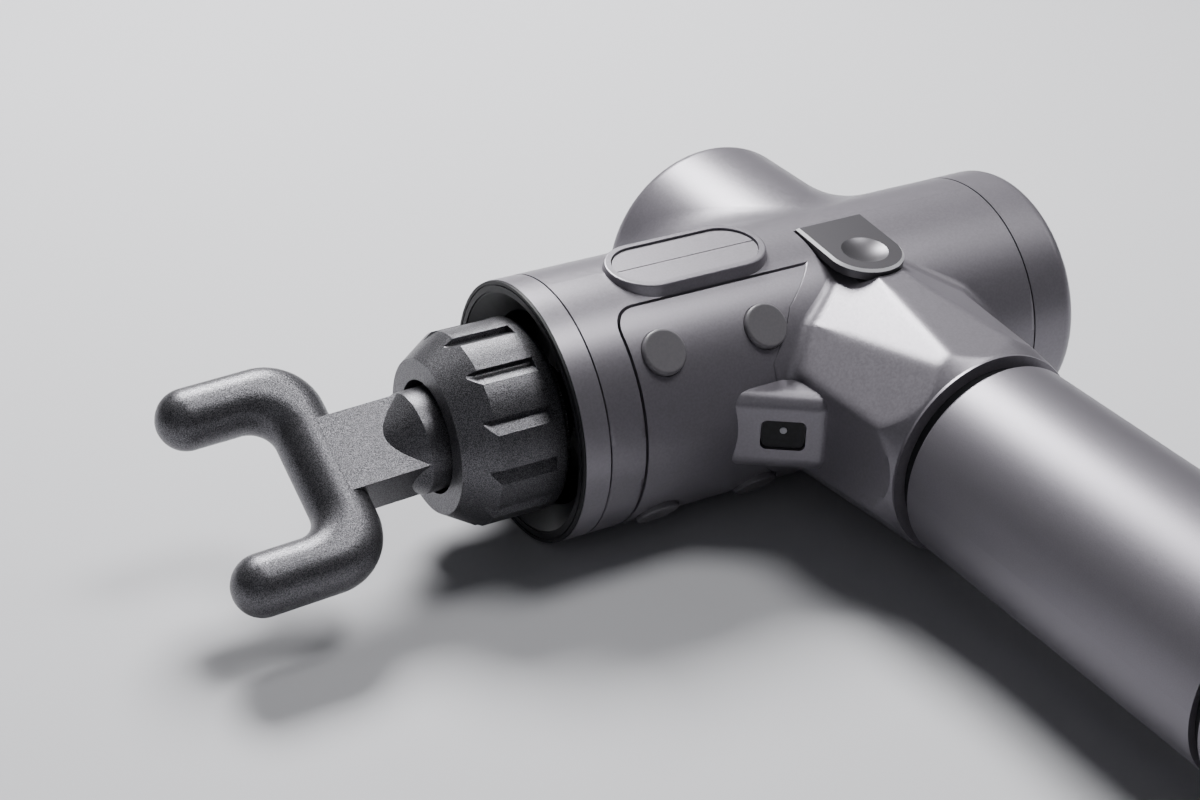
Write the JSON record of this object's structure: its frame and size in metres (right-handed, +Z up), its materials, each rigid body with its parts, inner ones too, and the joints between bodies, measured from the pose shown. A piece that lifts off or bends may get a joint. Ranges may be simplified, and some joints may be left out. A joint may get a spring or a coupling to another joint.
{
  "type": "massage gun",
  "caption": "Percussive massage gun lying on its side: round barrel with reciprocating fork head, lock collar, faceted neck, battery handle and coaxial motor bell.",
  "frame": {"origin": "bottom centre of the bounding box, on the surface the gun lies on", "axes": "+X forward along the barrel to the fork, +Y down the handle, +Z up through the gun's left side"},
  "size_m": [0.206, 0.2116, 0.0599],
  "materials": {
    "body_soft": "satin soft-touch",
    "ring_light": "satin",
    "black_trim": "matt black",
    "seal_rubber": "matt",
    "plug_rubber": "satin",
    "cast_dark": "coarse textured coat",
    "tab_metal": "gunmetal, bright edge",
    "handle_metal": "satin, fine lengthwise brushing",
    "steel": "machined",
    "alloy": "machined",
    "copper_steel": "wound stator",
    "bronze": "sintered bush",
    "gold_contact": "plated",
    "board_green": "solder mask",
    "chip_black": "moulded",
    "lens_clear": "frosted light guide",
    "panel_grey": "satin inset",
    "cell_wrap": "shrink-wrapped cell",
    "nylon": "natural nylon"
  },
  "bodies": {
    "housing": {"casing_left": "body_soft", "casing_right": "body_soft", "casing_screws": "steel", "barrel_under_cover": "body_soft", "screw_plugs": "plug_rubber", "cover_screws": "steel", "trigger_housing": "body_soft", "trigger_switch": "chip_black", "front_ring": "ring_light", "nose_bezel": "black_trim", "dust_seal": "seal_rubber", "capsule_frame": "ring_light", "capsule_panel_upper": "panel_grey", "capsule_panel_lower": "panel_grey", "tab_switch": "chip_black", "drum_cap": "body_soft", "drum_spigot_ring": "black_trim", "light_ring": "lens_clear", "control_board": "board_green", "control_chips": "chip_black", "rear_switch": "chip_black", "bell_cap": "black_trim", "motor_can": "steel", "motor_stator": "copper_steel", "motor_plate": "alloy", "main_bearing": "steel", "drive_frame": "alloy", "guide_bush": "bronze", "neck_socket": "black_trim", "socket_contacts": "gold_contact"},
    "rotor": {"motor_rotor": "steel", "motor_shaft": "steel", "crank_disc": "steel", "crank_pin": "steel", "crank_roller": "steel"},
    "plunger": {"slotted_yoke": "alloy", "plunger_shaft": "steel", "chuck_core": "black_trim", "shank_grip_ring": "seal_rubber", "snap_ring": "steel"},
    "collar": {"lock_collar": "cast_dark"},
    "fork": {"fork_head": "cast_dark"},
    "tab": {"thumb_tab": "tab_metal"},
    "trigger": {"trigger_key": "black_trim", "trigger_lamp": "lens_clear"},
    "rear_control": {"rear_button": "plug_rubber"},
    "handle": {"handle_sleeve": "handle_metal", "handle_spigot": "black_trim", "battery_contacts": "gold_contact", "battery_cells": "cell_wrap", "cell_holder_top": "nylon", "cell_holder_bottom": "nylon", "battery_board": "board_green", "handle_seam_ring": "black_trim", "bottom_cap": "handle_metal", "cap_screws": "steel", "charge_inlet": "black_trim"}
  },
  "joints": [
    {"name": "crank_turn", "type": "hinge", "parent": "housing", "child": "rotor", "pos_m": [-0.04996, -0.06425, 0.029], "axis": [0, 1, 0], "range_deg": [-90, 90]},
    {"name": "head_stroke", "type": "slide", "parent": "housing", "child": "plunger", "axis": [1, 0, 0], "range_m": [-0.006, 0.006]},
    {"name": "collar_lock", "type": "hinge", "parent": "plunger", "child": "collar", "pos_m": [0.03804, -0.05425, 0.029], "axis": [1, 0, 0], "range_deg": [0, 30]},
    {"name": "fork_release", "type": "slide", "parent": "plunger", "child": "fork", "axis": [1, 0, 0], "range_m": [0, 0.02]},
    {"name": "tab_press", "type": "slide", "parent": "housing", "child": "tab", "axis": [0, -0.088, -0.9961], "range_m": [0, 0.0006], "stiffness_N_per_m": 1500, "springref_m": -0.0004},
    {"name": "trigger_press", "type": "slide", "parent": "housing", "child": "trigger", "axis": [-0.565, -0.8251, 0], "range_m": [0, 0.0005], "stiffness_N_per_m": 1500, "springref_m": -0.0004},
    {"name": "rear_button_press", "type": "slide", "parent": "housing", "child": "rear_control", "axis": [1, 0, 0], "range_m": [0, 0.0008], "stiffness_N_per_m": 1200, "springref_m": -0.0004},
    {"name": "handle_release", "type": "slide", "parent": "housing", "child": "handle", "axis": [0, 1, 0], "range_m": [0, 0.02]}
  ],
  "couplings": [
    {"joint": "crank_turn", "follows": "head_stroke", "rad_per_m": 261.8}
  ]
}
